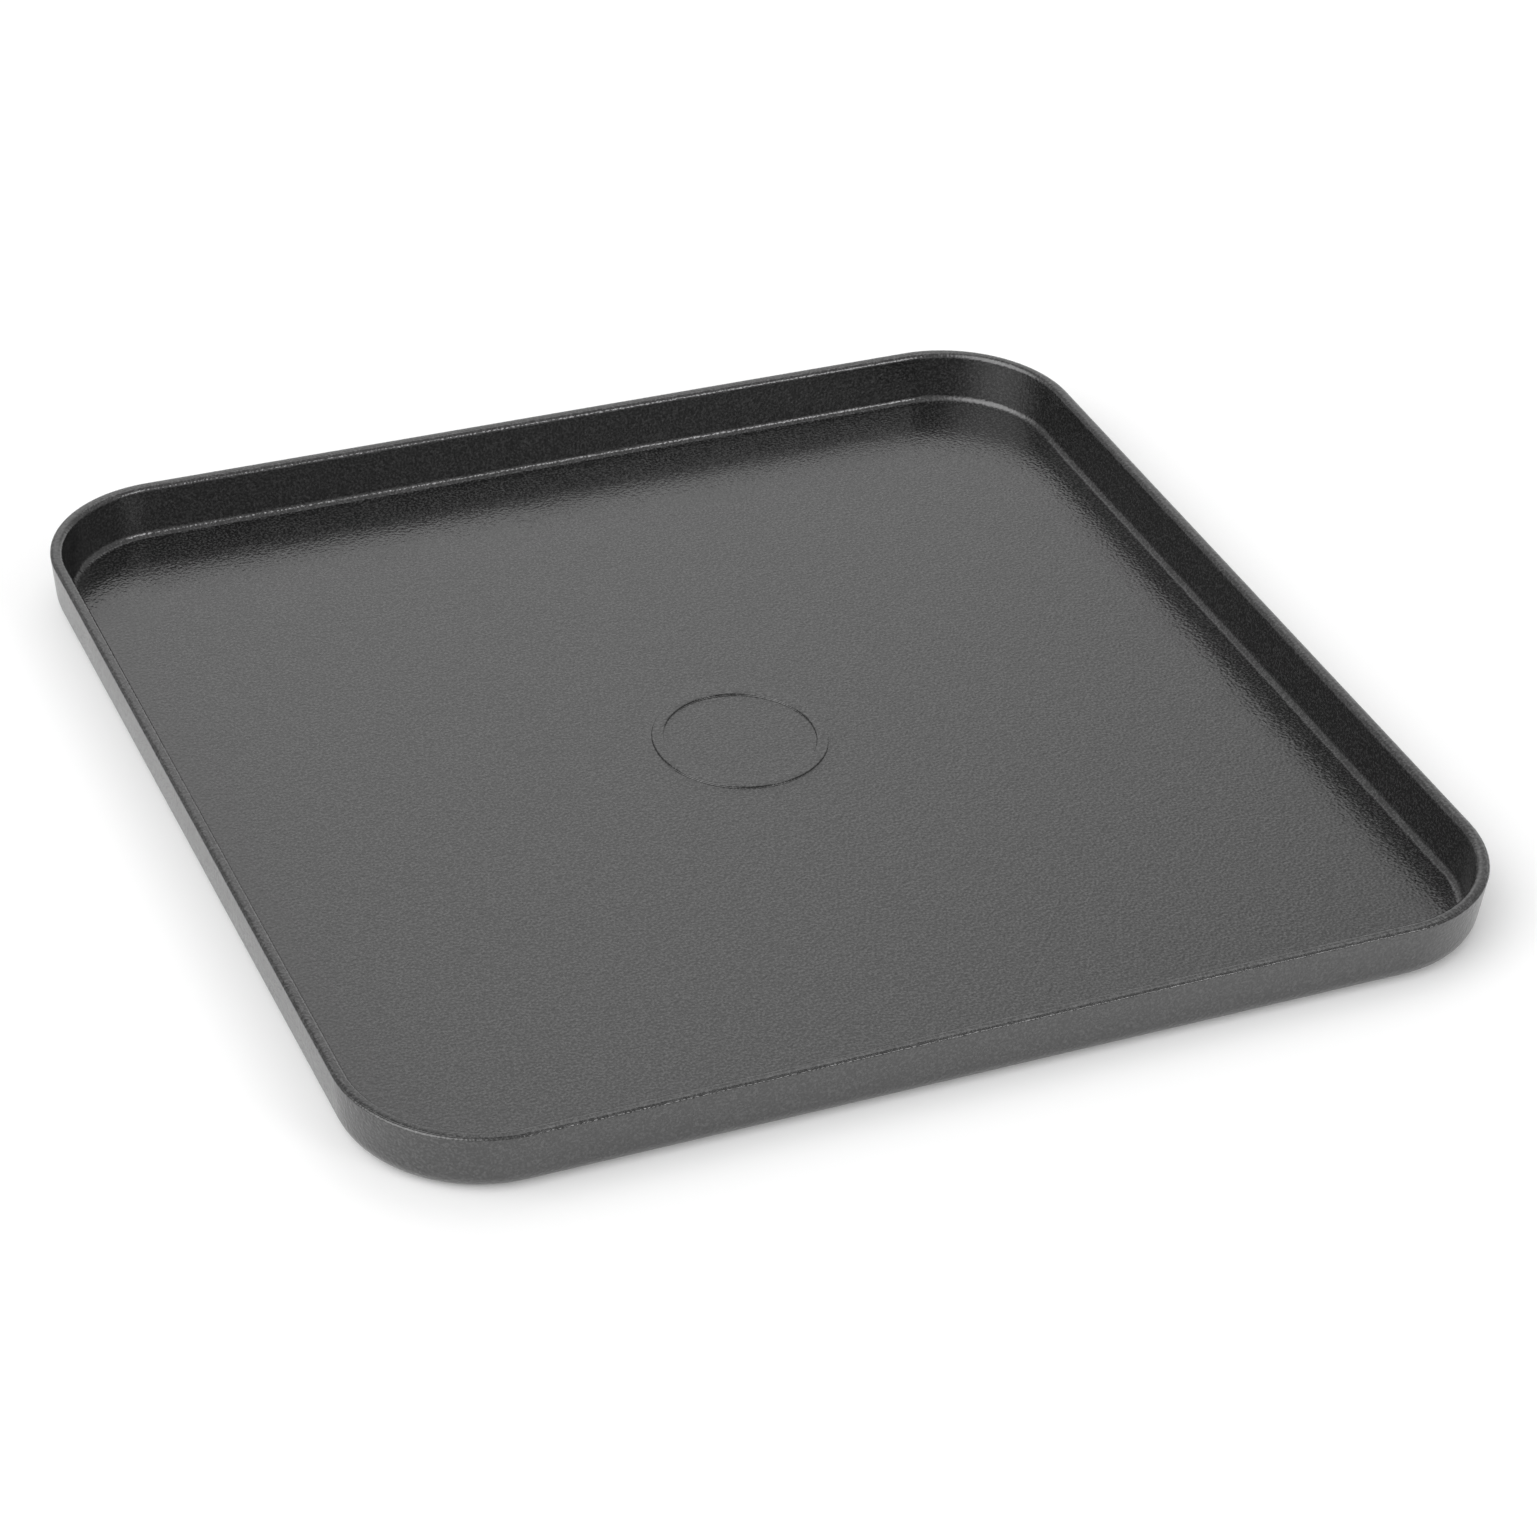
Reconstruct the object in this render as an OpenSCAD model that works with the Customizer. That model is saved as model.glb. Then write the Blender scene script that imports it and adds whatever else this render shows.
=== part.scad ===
// Camp griddle plate: a square aluminium casting with a low rim and round corners.
// A non-stick coating covers the cooking face, the inner walls and the top of the rim.
// A second coating covers the outer walls. The underside is ground flat and left bare.
// Millimetres, +Z up, with the origin at the middle of the underside.

/* [Plate] */
// Width and depth over the rim
side = 300; // [220:1:400]
// Height from the underside to the top of the rim
height = 17.3; // [12:0.1:30]
// Corner radius of the rim's outside, seen from above
corner_radius = 35.6; // [20:0.1:60]

/* [Walls and floor] */
// Thickness of the walls, measured level
wall = 3.4; // [2.6:0.1:5]
// Thickness of the floor
floor_thickness = 2.9; // [2:0.1:6]
// Lean of the walls out from upright, in degrees
draft = 6; // [1:0.5:12]

/* [Rounded edges] */
// Hollow radius between the cooking face and the walls
cove_radius = 2; // [1:0.1:5]
// Radius round the edge of the underside
base_radius = 6; // [2:0.1:7]
// How far down the outer edge of the rim is rounded
rim_drop = 0.8; // [0.5:0.1:1.4]
// Radius on the inner edge of the rim
rim_inner_radius = 1.6; // [0.4:0.1:1.7]

/* [Raised ring] */
// Outside diameter of the plain ring in the middle of the cooking face
ring_diameter = 46; // [20:1:100]
// Width of the ring
ring_width = 3; // [1.5:0.1:8]
// Height of the ring above the cooking face
ring_height = 0.5; // [0.3:0.1:1.2]

/* [Coatings] */
// Thickness of both coatings
coat = 0.15; // [0.05:0.05:0.3]
// Where the coatings meet on the rim's outer edge, in degrees round from level
seam_angle = 45; // [10:5:80]

/* [Hidden] */
$fn = 96;

// Chords in each rounded edge of the section
arc_steps = 8;

// From the middle of the plate to each corner's axis, along X and along Y
corner_axis = side / 2 - corner_radius;

// The section is drawn outward from a corner's axis, with its Y as the height.
// The rim's outer edge, part of an oval over the wall's outer half, just reaches the corner radius.
// The rounding of the inner edge stays within the other half.
rim_reach = wall / 2;
rim_inner_round = min(rim_inner_radius, wall / 2);
rim_outer_centre = [corner_radius - rim_reach, height - rim_drop];

// Both wall lines lean by the draft, and these are their distances out at the rim's height
rim_lean = rim_drop * tan(draft);
outer_line = rim_outer_centre.x + norm([rim_reach, rim_lean]) + rim_lean;
inner_line = outer_line - wall;

// Where the outer wall runs into the oval, in degrees round from level
wall_end = -atan(rim_lean / rim_reach);

// Centre of a rounded edge at a given height, whose distance in from a wall line is reach
function edge_centre(wall_line, level, reach) =
    [wall_line - (height - level) * tan(draft) - reach / cos(draft), level];

rim_inner_centre = edge_centre(inner_line, height - rim_inner_round, -rim_inner_round);
cove_centre = edge_centre(inner_line, floor_thickness + cove_radius, cove_radius);
base_centre = edge_centre(outer_line, base_radius, base_radius);

// Part of an oval, whose half width and half height are given
function oval(centre, half, from, to) =
    [for (i = [0 : arc_steps])
        let (angle = from + (to - from) * i / arc_steps)
        centre + [half.x * cos(angle), half.y * sin(angle)]];

function arc(centre, radius, from, to) = oval(centre, [radius, radius], from, to);

function rim_edge(depth, from, to) =
    oval(rim_outer_centre, [rim_reach - depth, rim_drop - depth], from, to);

function reversed(points) = [for (i = [len(points) - 1 : -1 : 0]) points[i]];

// The cooking face, cove, inner wall and rim as far as the seam, at a depth below the finished surface
function inside_line(depth) = concat(
    [[0, floor_thickness - depth]],
    arc(cove_centre, cove_radius + depth, -90, -draft),
    arc(rim_inner_centre, rim_inner_round - depth, 180 - draft, 90),
    rim_edge(depth, 90, seam_angle));

// The base edge, outer wall and rim as far as the seam, at a depth below the finished surface
function outside_line(depth) = concat(
    arc(base_centre, base_radius - depth, -90, -draft),
    rim_edge(depth, wall_end, seam_angle));

// Carries a section round the four straight sides and the four corners
module round_the_plate() {
    for (quarter = [0 : 3])
        rotate(90 * quarter)
            translate([corner_axis, corner_axis, 0]) {
                rotate_extrude(angle = 90) children();
                rotate([90, 0, 0]) linear_extrude(2 * corner_axis) children();
            }
}

// A level square sheet between the corners' axes
module middle_sheet(bottom, thickness) {
    translate([-corner_axis, -corner_axis, bottom])
        cube([2 * corner_axis, 2 * corner_axis, thickness]);
}

// The raised ring at a depth below the finished surface, from a given height up
module raised_ring(bottom, depth) {
    outer_radius = ring_diameter / 2 - depth;
    inner_radius = ring_diameter / 2 - ring_width + depth;
    translate([0, 0, bottom])
        linear_extrude(floor_thickness + ring_height - depth - bottom)
            difference() {
                circle(outer_radius);
                circle(inner_radius);
            }
}

module plate_casting() {
    color("#b4b6b8") {
        round_the_plate()
            polygon(concat(
                inside_line(coat),
                reversed(outside_line(coat)),
                [[base_centre.x, 0], [0, 0]]));
        middle_sheet(0, floor_thickness - coat);
        raised_ring(0, coat);
    }
}

module nonstick_coating() {
    color("#5a5b5d") {
        round_the_plate()
            polygon(concat(inside_line(0), reversed(inside_line(coat))));
        difference() {
            union() {
                middle_sheet(floor_thickness - coat, coat);
                raised_ring(floor_thickness - coat, 0);
            }
            raised_ring(0, coat);
        }
    }
}

module outer_coating() {
    color("#6a6b6d")
        round_the_plate()
            polygon(concat(outside_line(0), reversed(outside_line(coat))));
}

plate_casting();
nonstick_coating();
outer_coating();
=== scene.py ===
import math

import bmesh
import bpy
from mathutils import Matrix, Vector


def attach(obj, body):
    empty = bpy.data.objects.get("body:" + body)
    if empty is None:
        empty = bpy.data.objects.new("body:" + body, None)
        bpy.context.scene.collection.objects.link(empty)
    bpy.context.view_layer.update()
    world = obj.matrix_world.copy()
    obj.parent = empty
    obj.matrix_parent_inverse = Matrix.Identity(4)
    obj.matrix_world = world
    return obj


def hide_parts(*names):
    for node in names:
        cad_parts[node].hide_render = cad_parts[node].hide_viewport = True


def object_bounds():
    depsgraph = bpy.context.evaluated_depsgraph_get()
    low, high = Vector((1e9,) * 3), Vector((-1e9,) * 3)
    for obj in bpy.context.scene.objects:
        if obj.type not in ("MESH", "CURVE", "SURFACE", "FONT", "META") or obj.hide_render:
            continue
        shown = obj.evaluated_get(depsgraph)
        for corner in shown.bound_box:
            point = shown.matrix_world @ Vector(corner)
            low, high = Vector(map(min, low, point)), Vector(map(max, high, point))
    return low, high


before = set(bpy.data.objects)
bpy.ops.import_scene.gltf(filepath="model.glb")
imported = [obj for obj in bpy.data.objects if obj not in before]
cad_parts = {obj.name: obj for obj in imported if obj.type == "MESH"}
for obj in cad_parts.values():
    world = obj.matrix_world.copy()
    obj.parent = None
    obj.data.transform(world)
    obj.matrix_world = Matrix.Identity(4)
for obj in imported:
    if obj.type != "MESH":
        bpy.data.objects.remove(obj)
cad_low, cad_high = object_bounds()

MM = 0.001

# The plate's section, as in the CAD model
SIDE = cad_high.x - cad_low.x
HEIGHT = cad_high.z - cad_low.z
CORNER_RADIUS = 35.6 * MM
WALL = 3.4 * MM
FLOOR = 2.9 * MM
DRAFT = math.radians(6)
COVE_RADIUS = 2 * MM
BASE_RADIUS = 6 * MM
RIM_REACH = WALL / 2
RIM_DROP = 0.8 * MM
RIM_INNER_RADIUS = 1.6 * MM
RING_RADIUS = 23 * MM
RING_WIDTH = 3 * MM
RING_HEIGHT = 0.5 * MM
COAT = 0.15 * MM
SEAM = math.radians(45)

# Each coating's edge rolls down into a fine groove at the seam
LIP_DEPTH = 0.1 * MM
LIP_ANGLE = math.radians(8)

# How finely the coatings are meshed
CORNER_STEPS = 36
SIDE_STEPS = 96
FINE_ARC = 12
COARSE_ARC = 6
LIP_STEPS = 4
FLOOR_LOOPS = 12
MIDDLE_LOOPS = 3

# The loops round the ring, up to this share of its radius, are circles
CIRCLES_END = 1.2

# The photograph's camera, fitted to the plate's outline and rim
IMAGE_WIDTH = 1537
SENSOR_WIDTH = 36
FOCAL_PIXELS = 4511.1
VIEW_AZIMUTH = math.radians(24.998)
VIEW_ELEVATION = math.radians(34.411)
VIEW_ROLL = math.radians(-3.2095)
VIEW_DISTANCE = 1174.14 * MM
AIM_RIGHT = 7.51 * MM
AIM_DOWN = 5.64 * MM

# The coatings' finish: how pale the specks are, how rough the surface is and how deep its grain
COAT_IOR = 1.9
NONSTICK_TONE = 0.045
# The non-stick walls' speck tone is lower than the floor's: painted shade on the walls
NONSTICK_SHADED_WALL_TONE = 0.028
NONSTICK_ROUGHNESS = 0.19
NONSTICK_GRAIN = 0.08 * MM
OUTER_TONE = 0.038
OUTER_ROUGHNESS = 0.19
OUTER_GRAIN = 0.12 * MM
SPECKLE_SIZE = 0.6 * MM
GRAIN_SIZE = 0.8 * MM
PEEL_SIZE = 5 * MM
PEEL_DEPTH = 0.03 * MM
MOTTLE_SIZE = 25 * MM
MOTTLE_DETAIL = 2
GLOSS_CHANGE = 0.08

# The values of a noise at which specks begin and are palest
SPECKLE_RANGE = (0.4, 0.75)

# The range that most values of a noise fall in
NOISE_RANGE = (0.3, 0.7)

# The upward share of a normal on upright faces and on level ones
UPRIGHT_TO_LEVEL = (0.2, 0.9)

# The bare underside and its grinding lines
METAL_TONES = (0.6, 0.74)
METAL_ROUGHNESS = (0.28, 0.42)
METAL_DETAIL = 3
LINE_SIZE = 0.4 * MM
LINE_STRETCH = 60
LINE_DEPTH = 0.004 * MM

# The studio: a pale floor, an even room and five soft lights
FLOOR_SIDE = 8
FLOOR_TONE = 0.9
FLOOR_GLOW = 0.12
ROOM_LIGHT = 0.505

# The lights' angles are in degrees, and each width is from a light's middle to its edge
KEY = dict(azimuth=198, elevation=42, width=48, light=2.2)
FILL = dict(azimuth=301, elevation=32, width=12, light=5)
BACK = dict(azimuth=77, elevation=30, width=26, light=0.48)
TOP = dict(azimuth=46, elevation=61, width=20, light=0.85)
LOW = dict(azimuth=40, elevation=4, width=30, light=0.6)

CORNER_AXIS = SIDE / 2 - CORNER_RADIUS


# Section lines, as pairs of the distance out from a corner's axis and the height

def edge_centre(wall_line, level, reach):
    """The centre of a rounded edge at a given height, whose distance in from a wall line is reach."""
    lean = (HEIGHT - level) * math.tan(DRAFT)
    return wall_line - lean - reach / math.cos(DRAFT), level


RIM_OUTER_CENTRE = (CORNER_RADIUS - RIM_REACH, HEIGHT - RIM_DROP)
RIM_LEAN = RIM_DROP * math.tan(DRAFT)
OUTER_LINE = RIM_OUTER_CENTRE[0] + math.hypot(RIM_REACH, RIM_LEAN) + RIM_LEAN
INNER_LINE = OUTER_LINE - WALL
WALL_END = -math.atan(RIM_LEAN / RIM_REACH)
RIM_INNER_CENTRE = edge_centre(INNER_LINE, HEIGHT - RIM_INNER_RADIUS, -RIM_INNER_RADIUS)
COVE_CENTRE = edge_centre(INNER_LINE, FLOOR + COVE_RADIUS, COVE_RADIUS)
BASE_CENTRE = edge_centre(OUTER_LINE, BASE_RADIUS, BASE_RADIUS)


def arc(centre, radius, start, end, steps):
    """Points along part of a circle."""
    angles = [start + (end - start) * i / steps for i in range(steps + 1)]
    return [(centre[0] + radius * math.cos(a), centre[1] + radius * math.sin(a)) for a in angles]


def rim_edge(depth, start, end, steps):
    """The rim's oval outer edge, which reaches further over the top than down the wall."""
    flatten = (RIM_DROP - depth) / (RIM_REACH - depth)
    points = arc((0, 0), RIM_REACH - depth, start, end, steps)
    return [(RIM_OUTER_CENTRE[0] + x, RIM_OUTER_CENTRE[1] + flatten * y) for x, y in points]


def inside_line(depth, steps, end):
    """From the cove up over the rim to an end angle, at a depth below the finished surface."""
    down, level, up = -math.pi / 2, -DRAFT, math.pi / 2
    return (
        arc(COVE_CENTRE, COVE_RADIUS + depth, down, level, steps)
        + arc(RIM_INNER_CENTRE, RIM_INNER_RADIUS - depth, math.pi - DRAFT, up, steps)
        + rim_edge(depth, up, end, steps)
    )


def outside_line(depth, steps, end):
    """From the underside up to an end angle on the rim, at a depth below the finished surface."""
    down, level = -math.pi / 2, -DRAFT
    return (
        arc(BASE_CENTRE, BASE_RADIUS - depth, down, level, steps)
        + rim_edge(depth, WALL_END, end, steps)
    )


def lip(start):
    """The rolled edge of a coating, from a start angle on the rim's outer edge to the seam."""
    points = []
    for i in range(1, LIP_STEPS + 1):
        share = i / LIP_STEPS
        drop = LIP_DEPTH * (1 - math.sqrt(1 - share ** 2))
        angle = start + (SEAM - start) * share
        points += rim_edge(drop, angle, angle, 1)[:1]
    return points


# Closed loops of points round the plate

def square_loop(out, level):
    """A round-cornered square, at a distance out from the corners' axes."""
    points = []
    for quarter in range(4):
        turn = Matrix.Rotation(quarter * math.pi / 2, 3, "Z")
        corner = Vector((CORNER_AXIS, CORNER_AXIS, level))
        for i in range(CORNER_STEPS):
            angle = math.pi / 2 * i / CORNER_STEPS
            points.append(turn @ (corner + out * Vector((math.cos(angle), math.sin(angle), 0))))
        for i in range(SIDE_STEPS):
            along = CORNER_AXIS * (1 - 2 * i / SIDE_STEPS)
            points.append(turn @ Vector((along, CORNER_AXIS + out, level)))
    return points


def circle_loop(radius, level):
    """A circle with its points in the same directions as a square loop's."""
    points = []
    for corner in square_loop(COVE_CENTRE[0], level):
        flat = Vector((corner.x, corner.y, 0)).normalized()
        points.append(radius * flat + Vector((0, 0, level)))
    return points


def floor_loops(level, count):
    """Loops that go over from the circle round the ring to the foot of the cove."""
    inner = circle_loop(RING_RADIUS * CIRCLES_END, level)
    outer = square_loop(COVE_CENTRE[0], level)
    return [
        [a.lerp(b, i / count) for a, b in zip(inner, outer)]
        for i in range(count)
    ]


def ring_line(depth, steps):
    """The raised ring's section, as pairs of radius and height, from the middle outward."""
    top_radius = RING_HEIGHT / 2
    level = FLOOR - depth
    inner = RING_RADIUS - RING_WIDTH + depth
    outer = RING_RADIUS - depth
    up = math.pi / 2
    foot_in = arc((inner - top_radius, level + top_radius), top_radius, -up, 0, steps)
    top_in = arc((inner + top_radius, level + top_radius), top_radius, math.pi, up, steps)
    top_out = arc((outer - top_radius, level + top_radius), top_radius, up, 0, steps)
    foot_out = arc((outer + top_radius, level + top_radius), top_radius, math.pi, 1.5 * math.pi, steps)
    return foot_in[:-1] + top_in + top_out + foot_out[1:]


def cooking_face(depth, steps, count, end):
    """All the loops of one side of the non-stick coating, from the middle to an end angle on the rim."""
    level = FLOOR - depth
    spacing = RING_RADIUS / (MIDDLE_LOOPS + 1)
    loops = [circle_loop(spacing * (i + 1), level) for i in range(MIDDLE_LOOPS)]
    loops += [circle_loop(radius, height) for radius, height in ring_line(depth, steps)]
    loops += floor_loops(level, count)
    loops += [square_loop(out, height) for out, height in inside_line(depth, steps, end)]
    return loops


# Meshes

def bridge(faces, first, second, count):
    """Adds a band of faces between two loops, whose first points are given."""
    for i in range(count):
        j = (i + 1) % count
        faces.append((first + i, first + j, second + j, second + i))


def coating_object(name, loops, middles=()):
    """A closed shell through the loops, ended by fans to two middle points or joined end to end."""
    count = len(loops[0])
    vertices = [point for loop in loops for point in loop]
    faces = []
    for k in range(len(loops) - 1):
        bridge(faces, k * count, (k + 1) * count, count)
    if middles:
        for first, middle in ((0, middles[0]), ((len(loops) - 1) * count, middles[1])):
            vertices.append(middle)
            centre = len(vertices) - 1
            faces += [(first + i, first + (i + 1) % count, centre) for i in range(count)]
    else:
        bridge(faces, (len(loops) - 1) * count, 0, count)
    mesh = bpy.data.meshes.new(name)
    mesh.from_pydata(vertices, [], faces)
    shape = bmesh.new()
    shape.from_mesh(mesh)
    bmesh.ops.recalc_face_normals(shape, faces=shape.faces)
    for face in shape.faces:
        face.smooth = True
    shape.to_mesh(mesh)
    shape.free()
    piece = bpy.data.objects.new(name, mesh)
    bpy.context.scene.collection.objects.link(piece)
    return piece


def nonstick_coating():
    start = SEAM + LIP_ANGLE
    outer = cooking_face(0, FINE_ARC, FLOOR_LOOPS, start)
    outer += [square_loop(out, level) for out, level in lip(start)]
    backing = cooking_face(COAT, COARSE_ARC, 1, SEAM)
    middles = (Vector((0, 0, FLOOR)), Vector((0, 0, FLOOR - COAT)))
    return coating_object("nonstick_skin", outer + backing[::-1], middles)


def outer_coating():
    start = SEAM - LIP_ANGLE
    outer = [square_loop(out, level) for out, level in outside_line(0, FINE_ARC, start) + lip(start)]
    backing = [square_loop(out, level) for out, level in outside_line(COAT, COARSE_ARC, SEAM)]
    return coating_object("outer_skin", outer + backing[::-1])


# Materials

def new_material(name):
    material = bpy.data.materials.new(name)
    material.use_nodes = True
    tree = material.node_tree
    return material, tree, tree.nodes["Principled BSDF"]


def connect(tree, value, socket):
    """Links a node's output to a socket, or sets the socket to a plain number."""
    if isinstance(value, bpy.types.NodeSocket):
        tree.links.new(value, socket)
    else:
        socket.default_value = value


def noise(tree, place, size, detail=0):
    """The value of a noise with bumps of about a given size."""
    node = tree.nodes.new("ShaderNodeTexNoise")
    node.inputs["Scale"].default_value = 1 / size
    node.inputs["Detail"].default_value = detail
    tree.links.new(place, node.inputs["Vector"])
    return node.outputs["Fac"]


def remap(tree, value, source, target):
    """A value carried smoothly from one range to another, and held within it."""
    node = tree.nodes.new("ShaderNodeMapRange")
    node.interpolation_type = "SMOOTHSTEP"
    for name, number in zip(("From Min", "From Max", "To Min", "To Max"), source + target):
        node.inputs[name].default_value = number
    tree.links.new(value, node.inputs["Value"])
    return node.outputs["Result"]


def calculate(tree, operation, *values):
    node = tree.nodes.new("ShaderNodeMath")
    node.operation = operation
    for value, socket in zip(values, node.inputs):
        connect(tree, value, socket)
    return node.outputs["Value"]


def bump(tree, height, depth, normal=None):
    """A surface normal that follows a height between 0 and 1, on top of another bump's normal."""
    node = tree.nodes.new("ShaderNodeBump")
    node.inputs["Distance"].default_value = depth
    tree.links.new(height, node.inputs["Height"])
    if normal:
        tree.links.new(normal, node.inputs["Normal"])
    return node.outputs["Normal"]


def sprayed_coat(name, tone, shaded_wall_tone, roughness, grain_depth):
    """A dark satin coating with pale specks, a fine grain and a faint orange peel.

    Its specks are darker on walls than on level faces, which paints shade on the walls.
    """
    material, tree, shader = new_material(name)
    coordinates = tree.nodes.new("ShaderNodeTexCoord").outputs
    place = coordinates["Object"]
    speckle = remap(tree, noise(tree, place, SPECKLE_SIZE), SPECKLE_RANGE, (0, 1))
    facing = tree.nodes.new("ShaderNodeSeparateXYZ")
    tree.links.new(coordinates["Normal"], facing.inputs["Vector"])
    # Upright faces take the darker wall tone and level faces the full tone: painted shade on the walls
    palest_with_painted_shade = remap(tree, facing.outputs["Z"], UPRIGHT_TO_LEVEL, (shaded_wall_tone, tone))
    tree.links.new(calculate(tree, "MULTIPLY", speckle, palest_with_painted_shade), shader.inputs["Base Color"])
    mottle = noise(tree, place, MOTTLE_SIZE, MOTTLE_DETAIL)
    glossiest = (1 - GLOSS_CHANGE) * roughness
    dullest = (1 + GLOSS_CHANGE) * roughness
    gloss = remap(tree, mottle, NOISE_RANGE, (glossiest, dullest))
    tree.links.new(gloss, shader.inputs["Roughness"])
    shader.inputs["IOR"].default_value = COAT_IOR
    peel = bump(tree, noise(tree, place, PEEL_SIZE), PEEL_DEPTH)
    grain = bump(tree, noise(tree, place, GRAIN_SIZE), grain_depth, peel)
    tree.links.new(grain, shader.inputs["Normal"])
    return material


def ground_aluminium(name):
    """Bare metal with the fine straight lines that grinding leaves."""
    material, tree, shader = new_material(name)
    place = tree.nodes.new("ShaderNodeTexCoord").outputs["Object"]
    stretch = tree.nodes.new("ShaderNodeMapping")
    stretch.inputs["Scale"].default_value = (1 / LINE_STRETCH, 1, 1)
    tree.links.new(place, stretch.inputs["Vector"])
    lines = noise(tree, stretch.outputs["Vector"], LINE_SIZE, METAL_DETAIL)
    tree.links.new(remap(tree, lines, NOISE_RANGE, METAL_TONES), shader.inputs["Base Color"])
    mottle = noise(tree, place, MOTTLE_SIZE, METAL_DETAIL)
    tree.links.new(remap(tree, mottle, NOISE_RANGE, METAL_ROUGHNESS), shader.inputs["Roughness"])
    tree.links.new(bump(tree, lines, LINE_DEPTH), shader.inputs["Normal"])
    shader.inputs["Metallic"].default_value = 1
    return material


# Camera, floor and light

def add_camera():
    """A camera that sees the plate as the photograph does."""
    sin_a, cos_a = math.sin(VIEW_AZIMUTH), math.cos(VIEW_AZIMUTH)
    sin_e, cos_e = math.sin(VIEW_ELEVATION), math.cos(VIEW_ELEVATION)
    forward = Vector((sin_a * cos_e, cos_a * cos_e, -sin_e))
    level_right = Vector((cos_a, -sin_a, 0))
    level_down = forward.cross(level_right)
    right = math.cos(VIEW_ROLL) * level_right + math.sin(VIEW_ROLL) * level_down
    down = math.cos(VIEW_ROLL) * level_down - math.sin(VIEW_ROLL) * level_right
    aim = AIM_RIGHT * right + AIM_DOWN * down
    data = bpy.data.cameras.new("camera")
    data.sensor_width = SENSOR_WIDTH
    data.lens = FOCAL_PIXELS / IMAGE_WIDTH * data.sensor_width
    camera = bpy.data.objects.new("camera", data)
    turn = Matrix((right, -down, -forward)).transposed().to_4x4()
    camera.matrix_world = Matrix.Translation(aim - VIEW_DISTANCE * forward) @ turn
    bpy.context.scene.collection.objects.link(camera)
    bpy.context.scene.camera = camera


def add_floor():
    """A wide level floor under the plate."""
    half = FLOOR_SIDE / 2
    corners = [(-half, -half, 0), (half, -half, 0), (half, half, 0), (-half, half, 0)]
    mesh = bpy.data.meshes.new("floor")
    mesh.from_pydata(corners, [], [(0, 1, 2, 3)])
    floor = bpy.data.objects.new("floor", mesh)
    bpy.context.scene.collection.objects.link(floor)
    mesh.materials.append(floor_material())


def floor_material():
    """A pale floor, lifted to white where it is seen directly or in a reflection."""
    material, tree, shader = new_material("floor")
    shader.inputs["Base Color"].default_value = (FLOOR_TONE, FLOOR_TONE, FLOOR_TONE, 1)
    shader.inputs["Roughness"].default_value = 1
    shader.inputs["Emission Color"].default_value = (1, 1, 1, 1)
    rays = tree.nodes.new("ShaderNodeLightPath").outputs
    seen = calculate(tree, "MAXIMUM", rays["Is Camera Ray"], rays["Is Glossy Ray"])
    seen = calculate(tree, "MAXIMUM", seen, rays["Is Transmission Ray"])
    tree.links.new(calculate(tree, "MULTIPLY", seen, FLOOR_GLOW), shader.inputs["Emission Strength"])
    return material


def soft_light(tree, azimuth, elevation, width, light):
    """Light from a round patch of the sky, strongest in its middle and fading smoothly to its edge."""
    turn, rise = math.radians(azimuth), math.radians(elevation)
    towards = tree.nodes.new("ShaderNodeVectorMath")
    towards.operation = "DOT_PRODUCT"
    level = math.cos(rise)
    towards.inputs[1].default_value = (level * math.cos(turn), level * math.sin(turn), math.sin(rise))
    tree.links.new(tree.nodes.new("ShaderNodeTexCoord").outputs["Generated"], towards.inputs[0])
    return remap(tree, towards.outputs["Value"], (math.cos(math.radians(width)), 1), (0, light))


def add_world():
    """An even white room with five soft lights in it."""
    world = bpy.data.worlds.new("studio")
    world.use_nodes = True
    tree = world.node_tree
    light = ROOM_LIGHT
    for lamp in (KEY, FILL, BACK, TOP, LOW):
        light = calculate(tree, "ADD", light, soft_light(tree, **lamp))
    background = tree.nodes["Background"]
    background.inputs["Color"].default_value = (1, 1, 1, 1)
    tree.links.new(light, background.inputs["Strength"])
    bpy.context.scene.world = world


def add_piece(piece, node, material):
    """Puts a piece in the place of a CAD node, with its material."""
    piece.data.materials.append(material)
    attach(piece, "root")
    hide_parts(node)


nonstick = sprayed_coat(
    "nonstick", NONSTICK_TONE, NONSTICK_SHADED_WALL_TONE, NONSTICK_ROUGHNESS, NONSTICK_GRAIN)
outer_coat = sprayed_coat("outer_coat", OUTER_TONE, OUTER_TONE, OUTER_ROUGHNESS, OUTER_GRAIN)
add_piece(nonstick_coating(), "nonstick_coating", nonstick)
add_piece(outer_coating(), "outer_coating", outer_coat)
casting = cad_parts["plate_casting"]
casting.data.materials.clear()
casting.data.materials.append(ground_aluminium("cast_aluminium"))

add_camera()
add_floor()
add_world()
bpy.context.scene.view_settings.view_transform = "Standard"
